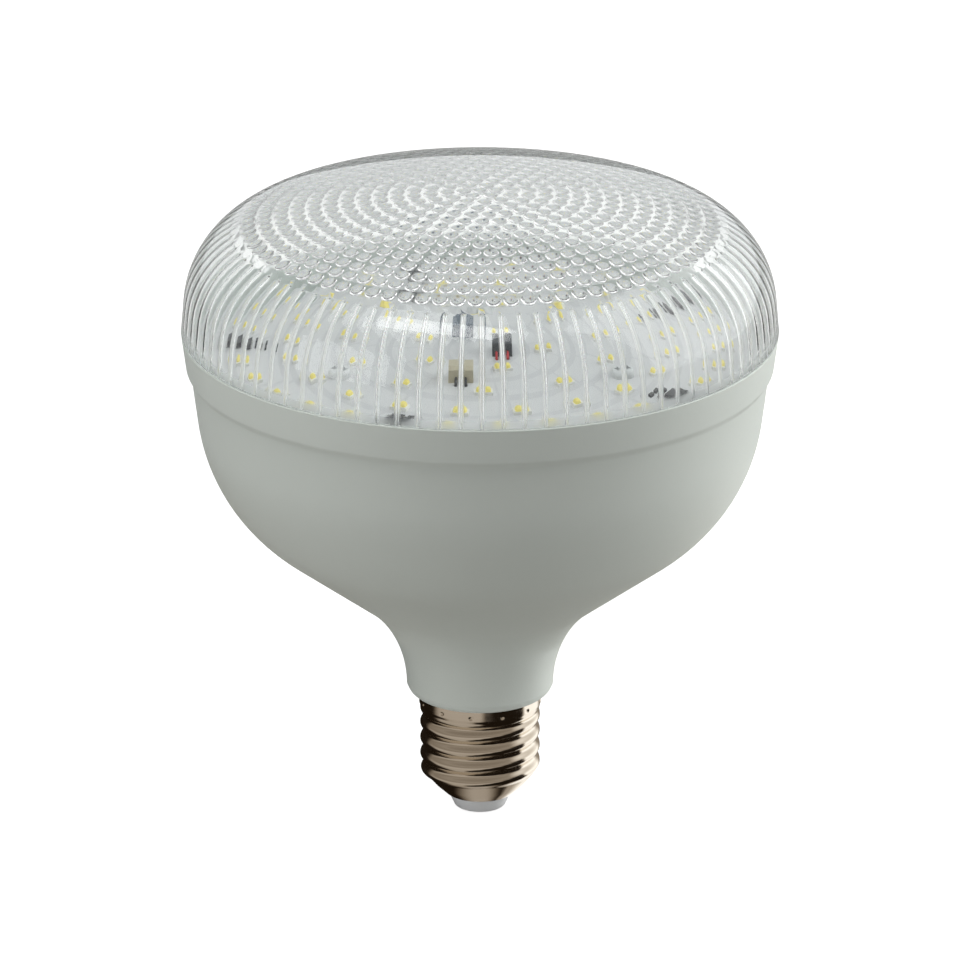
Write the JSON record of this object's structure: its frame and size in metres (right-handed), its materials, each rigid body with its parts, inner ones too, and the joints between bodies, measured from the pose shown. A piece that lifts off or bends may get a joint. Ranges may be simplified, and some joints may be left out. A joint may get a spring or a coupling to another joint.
{
  "type": "led light bulb",
  "caption": "Wide high-wattage LED bulb: white bowl housing on an Edison screw cap, with a clear domed lens, fluted and beaded inside, over a round board of LEDs.",
  "frame": {"origin": "on the bulb's axis, at the tip of the centre contact", "axes": "+Z along the bulb's axis, from the screw cap up to the lens"},
  "size_m": [0.1286, 0.1286, 0.1428],
  "materials": {
    "white_housing": "moulded, fine matt",
    "bare_aluminium": "pressed sheet",
    "white_board": "white solder mask on an aluminium core",
    "white_package": "white moulded package",
    "yellow_phosphor": "phosphor in clear resin",
    "black_chip": "moulded epoxy",
    "tinned_lead": "tinned",
    "slate_block": "moulded",
    "dark_block": "moulded",
    "beige_block": "moulded",
    "red_wire": "insulated lead",
    "black_wire": "insulated lead",
    "steel_screw": "zinc plated, head lacquered white",
    "clear_lens": "clear, polished outside",
    "nickel_shell": "nickel plated",
    "grey_insulator": "moulded"
  },
  "bodies": {
    "root": {"housing": "white_housing", "heat_tray": "bare_aluminium", "led_board": "white_board", "led_packages": "white_package", "led_phosphors": "yellow_phosphor", "driver_ics": "black_chip", "ic_leads": "tinned_lead", "sense_resistors": "black_chip", "bridge_rectifier": "slate_block", "fuse_block": "dark_block", "wire_terminal": "beige_block", "live_wire": "red_wire", "neutral_wire": "black_wire", "board_screws": "steel_screw", "lens_cover": "clear_lens", "screw_shell": "nickel_shell", "cap_insulator": "grey_insulator", "centre_contact": "nickel_shell"}
  },
  "joints": []
}
